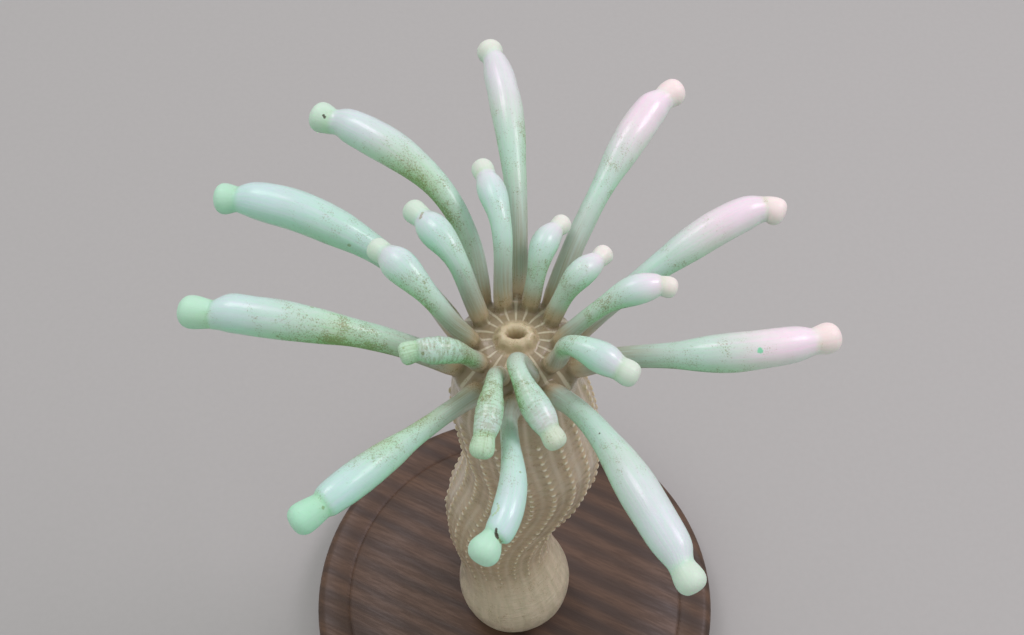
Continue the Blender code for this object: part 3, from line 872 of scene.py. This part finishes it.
def makeFlesh(values):
    material, tree, shader = startMaterial(
        "anemoneFlesh",
        **{
            "Subsurface Weight": 0.45, "Subsurface Radius": (0.7, 1.0, 0.8), "Subsurface Scale": 1.5 * mm,
            "Coat Roughness": 0.2, "Coat IOR": 1.42, "IOR": 1.36,
        },
    )
    place = addNode(tree, "ShaderNodeTexCoord").outputs["Object"]
    read = {}
    for name in attributeNames:
        read[name] = addNode(tree, "ShaderNodeAttribute", attribute_name=name).outputs["Fac"]
    around = addNode(tree, "ShaderNodeAttribute", attribute_name="around").outputs["Vector"]
    parts = addNode(tree, "ShaderNodeSeparateXYZ", {"Vector": around}).outputs
    shift = calc(tree, "MULTIPLY", read["who"], 5.3)
    lines = useGroup(tree, streaks, Around=around, Across=8.0, Along=0.14, Shift=shift)
    across = useGroup(tree, streaks, Around=around, Across=1.3, Along=3.4, Shift=shift)
    clear = useGroup(tree, clouds, Place=place, Size=260)
    broad = useGroup(tree, clouds, Place=place, Size=90)

    # tentacles
    lowest = spread(tree, parts[1], -1.1, -0.3, 0.45, 1.0)  # the very bottom takes less of the painted shade
    # painted shade: the lower side of each tentacle turns deeper green, and below is that shaded colour
    under = calc(tree, "MULTIPLY", spread(tree, parts[1], 0.85, -0.35), lowest)
    under = calc(tree, "MULTIPLY", under, read["limb"])
    top = blendColour(tree, read["pinkLight"], values["mint"], values["pinkLight"])
    below = blendColour(tree, read["pinkLight"], values["shadeMint"], values["shadePink"])
    shaft = blendColour(tree, calc(tree, "MULTIPLY", under, values["under"]), top, below)
    shaft = blendColour(tree, calc(tree, "MULTIPLY", lines, values["streak"]), shaft, below)
    knob = blendColour(tree, read["pinkLight"], values["knobMint"], values["knobPinkLight"])
    shade = calc(tree, "MULTIPLY", lines, values["knobStreak"])
    # the knob's lower side takes the painted shade as well
    knob = blendColour(tree, calc(tree, "MULTIPLY_ADD", under, values["knobUnderShade"], shade), knob, below)
    streaked = calc(tree, "MULTIPLY_ADD", lines, values["stalkStreak"], 0.1)
    stalk = blendColour(tree, streaked, values["stalk"], top)
    limb = blendColour(tree, read["dusky"], shaft, stalk)
    limb = blendColour(tree, read["knob"], limb, knob)

    # disc, lips and column
    spots = addNode(tree, "ShaderNodeSeparateXYZ", {"Vector": place}).outputs
    wobble = calc(tree, "MULTIPLY", clear, 0.35)
    turn = calc(tree, "MULTIPLY_ADD", calc(tree, "ARCTAN2", spots[1], spots[0]), 20.0, wobble)
    rays = spread(tree, calc(tree, "COSINE", turn), 0.55, 0.95)
    disc = blendColour(tree, calc(tree, "MULTIPLY", broad, 0.5), values["disc"], values["capitulum"])
    disc = blendColour(tree, calc(tree, "MULTIPLY", rays, values["discRays"]), disc, values["discLine"])
    column = blendColour(tree, spread(tree, parts[2], 4.0, 14.0), values["capitulum"], values["scapus"])
    column = blendColour(tree, spread(tree, parts[2], 50.0, 66.0), column, values["physa"])
    column = blendColour(tree, calc(tree, "MULTIPLY", lines, values["columnStreak"]), column, values["stalk"])
    furrow = spread(tree, read["ridge"], 0.45, 0.0)
    column = blendColour(tree, calc(tree, "MULTIPLY", furrow, values["columnRidge"]), column, values["physa"])
    column = blendColour(tree, read["wart"], column, values["wart"])
    body = blendColour(tree, read["disc"], column, disc)
    body = blendColour(tree, read["lips"], body, values["lips"])
    # painted shade in the neck's crease, in the lower side's shaded colour
    limb = blendColour(tree, calc(tree, "MULTIPLY", read["crease"], values["creaseShade"]), limb, below)
    flesh = blendColour(tree, read["limb"], body, limb)
    flesh = blendColour(tree, calc(tree, "MULTIPLY", clear, 0.06), flesh, values["stalk"])

    # silt: a haze, then grains
    patchy = calc(tree, "MULTIPLY", read["dust"], spread(tree, broad, 0.1, 0.9, 0.7, 1.05))
    underDust = calc(tree, "MULTIPLY", read["dust"], values["underSilt"])
    dirt = calc(tree, "ADD", patchy, calc(tree, "MULTIPLY", under, underDust))
    bodyDirt = calc(tree, "MULTIPLY", calc(tree, "SUBTRACT", 1.0, read["limb"]), values["bodySilt"])
    dirt = calc(tree, "ADD", dirt, bodyDirt)
    collar = calc(tree, "MULTIPLY", read["crease"], spread(tree, clear, 0.35, 0.8))
    dirt = calc(tree, "ADD", dirt, calc(tree, "MULTIPLY", collar, values["collarSilt"]))
    grains = useGroup(tree, silt, Place=place, Amount=dirt, Grain=6200, Patch=700)
    tone = blendColour(tree, useGroup(tree, clouds, Place=place, Size=900), values["silt"], values["moss"])
    haze = calc(tree, "MULTIPLY", dirt, values["hazeDepth"], clamp=True)
    flesh = blendColour(tree, haze, flesh, values["haze"], "MULTIPLY")
    inFolds = calc(tree, "MULTIPLY", read["folds"], calc(tree, "MULTIPLY_ADD", read["knob"], -0.3, 0.4))
    inFolds = calc(tree, "MULTIPLY", spread(tree, across, 0.3, 0.85), inFolds)
    flesh = blendColour(tree, inFolds, flesh, tone, "MULTIPLY")
    onKnob = calc(tree, "MULTIPLY", read["folds"], calc(tree, "MULTIPLY", read["knob"], 0.3))
    onKnob = calc(tree, "MULTIPLY", spread(tree, lines, 0.4, 0.9), onKnob)
    flesh = blendColour(tree, onKnob, flesh, tone, "MULTIPLY")
    flesh = blendColour(tree, calc(tree, "MULTIPLY", grains, values["grainDepth"]), flesh, tone, "MULTIPLY")
    for who, back, turn, radius, name in values["marks"]:
        centre = markPlace(who, back, turn)
        mark = useGroup(tree, spot, Place=place, Centre=centre, Radius=radius * mm, Grain=3800)
        way = "MIX" if name in values["boldColours"] else "MULTIPLY"
        strength = values["boldMark"] if way == "MIX" else values["softMark"]
        flesh = blendColour(tree, calc(tree, "MULTIPLY", mark, strength), flesh, values[name], way)

    # finish
    fine = noiseOf(tree, place, 5200.0, 2.0)
    dull = calc(tree, "MULTIPLY_ADD", read["knob"], 0.2, calc(tree, "MULTIPLY_ADD", fine, 0.1, 0.32))
    rough = calc(tree, "ADD", dull, calc(tree, "MULTIPLY", grains, 0.3), clamp=True)
    knobWet = calc(tree, "MULTIPLY_ADD", read["knob"], -0.7, 1.0)  # knobs are duller than shafts
    wet = calc(tree, "SUBTRACT", knobWet, calc(tree, "MULTIPLY", dirt, 0.45), clamp=True)
    film = useGroup(tree, clouds, Place=place, Size=520)
    wet = calc(tree, "MULTIPLY", wet, spread(tree, film, 0.2, 0.7, 0.5, 1.0))
    wrinkles = useGroup(tree, streaks, Around=around, Across=1.6, Along=1.7, Shift=9.0)
    ofBody = calc(tree, "SUBTRACT", 1.0, read["limb"])
    height = calc(tree, "MULTIPLY", lines, 0.14)
    height = calc(tree, "MULTIPLY_ADD", across, calc(tree, "MULTIPLY", read["folds"], -0.6), height)
    height = calc(tree, "MULTIPLY_ADD", fine, 0.25, height)
    height = calc(tree, "MULTIPLY_ADD", wrinkles, calc(tree, "MULTIPLY", ofBody, 0.9), height)
    height = calc(tree, "MULTIPLY_ADD", grains, 0.3, height)
    finishMaterial(
        tree, shader, height, 0.12 * mm, 0.5, **{"Base Color": flesh, "Roughness": rough, "Coat Weight": wet}
    )
    return material


skin.data.materials.clear()
skin.data.materials.append(makeFlesh(fleshValues))
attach(skin, "root")
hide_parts(*[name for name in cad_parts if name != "stand_base"])
print("flesh painted")

# dark stain, rubbed lighter on the edges
woodValues = dict(
    light=(0.115, 0.057, 0.029, 1),
    dark=(0.042, 0.02, 0.011, 1),
    worn=(0.24, 0.13, 0.07, 1),
    waves=0.7,  # shares of the figure
    rings=0.3,
    pores=0.5,
    wear=0.5,
)


def makeWood(values):
    material, tree, shader = startMaterial("stainedWood", **{"Coat Weight": 0.12, "Coat Roughness": 0.35})
    place = addNode(tree, "ShaderNodeTexCoord").outputs["Object"]
    turned = addNode(
        tree,
        "ShaderNodeMapping",
        {"Vector": place, "Location": (0.02, 0.31, 0.05), "Rotation": (0.1, 0.06, 0.45)},
    ).outputs[0]
    grain = addNode(tree, "ShaderNodeMapping", {"Vector": turned, "Scale": (0.06, 1.0, 1.0)}).outputs[0]
    wavy = noiseOf(tree, grain, 160.0, 3.0, Distortion=0.6)
    rings = addNode(
        tree, "ShaderNodeTexWave",
        {"Vector": grain, "Scale": 88.0, "Distortion": 4.5, "Detail": 3.0, "Detail Scale": 1.6},
        wave_type="BANDS", bands_direction="Y",
    )
    thin = addNode(tree, "ShaderNodeMapping", {"Vector": turned, "Scale": (0.04, 1.0, 1.0)}).outputs[0]
    pores = useGroup(tree, streaks, Around=thin, Across=2400.0, Along=2400.0, Shift=0.0)
    waves = calc(tree, "MULTIPLY", wavy, values["waves"])
    figure = calc(tree, "ADD", waves, calc(tree, "MULTIPLY", rings.outputs[0], values["rings"]))
    colour = blendColour(tree, spread(tree, figure, 0.25, 0.75), values["dark"], values["light"])
    colour = blendColour(tree, calc(tree, "MULTIPLY", pores, values["pores"]), colour, values["dark"])
    edge = addNode(tree, "ShaderNodeNewGeometry").outputs["Pointiness"]
    rubbed = useGroup(tree, clouds, Place=place, Size=260)
    worn = calc(tree, "MULTIPLY", spread(tree, edge, 0.51, 0.56), rubbed)
    colour = blendColour(tree, calc(tree, "MULTIPLY", worn, values["wear"]), colour, values["worn"])
    rough = calc(tree, "MULTIPLY_ADD", pores, 0.16, 0.46)
    finishMaterial(tree, shader, pores, 0.05 * mm, 0.35, **{"Base Color": colour, "Roughness": rough})
    return material


base.data.materials.clear()
base.data.materials.append(makeWood(woodValues))
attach(base, "root")
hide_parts("stand_base")
print("base stained")

# a plain floor and two lamps
floorValues = dict(size=4, colour=(0.45, 0.445, 0.435, 1), fleck=(0.443, 0.438, 0.428, 1))
lightValues = dict(
    lamps=(  # name, direction from the crown, distance, size, watts, colour
        ("keyLight", (0.63, 0.2, 0.74), 0.42, 0.16, 0.63, (1.0, 0.88, 0.98)),
        ("topLight", (-0.45, 0.5, 1.0), 0.5, 0.2, 0.66, (1.0, 0.92, 0.99)),
    ),
    world=(0.6, 0.61, 0.6, 1),
)


def makeFloor(values):
    bpy.ops.mesh.primitive_plane_add(size=values["size"])
    floor = bpy.context.object
    floor.name = "floor"
    material, tree, shader = startMaterial("floorPaint", Roughness=0.8)
    place = addNode(tree, "ShaderNodeTexCoord").outputs["Object"]
    fleck = useGroup(tree, clouds, Place=place, Size=900)
    colour = blendColour(tree, fleck, values["colour"], values["fleck"])
    finishMaterial(tree, shader, fleck, 0.1 * mm, 0.02, **{"Base Color": colour})
    floor.data.materials.append(material)


def makeLights(values):
    crown = Vector((0, 0, crownPlane))
    for name, way, distance, size, watts, colour in values["lamps"]:
        spotAt = crown + Vector(way).normalized() * distance
        turn = (crown - spotAt).to_track_quat("-Z", "Y").to_euler()
        bpy.ops.object.light_add(type="AREA", location=spotAt, rotation=turn)
        lamp = bpy.context.object
        lamp.name = name
        lamp.data.size, lamp.data.energy, lamp.data.color = size, watts, colour
    world = bpy.data.worlds.new("studio")
    scene.world = world
    scene.view_settings.view_transform = "Standard"
    world.use_nodes = True
    world.node_tree.nodes["Background"].inputs["Color"].default_value = values["world"]


makeFloor(floorValues)
makeLights(lightValues)
print("floor and lights set")
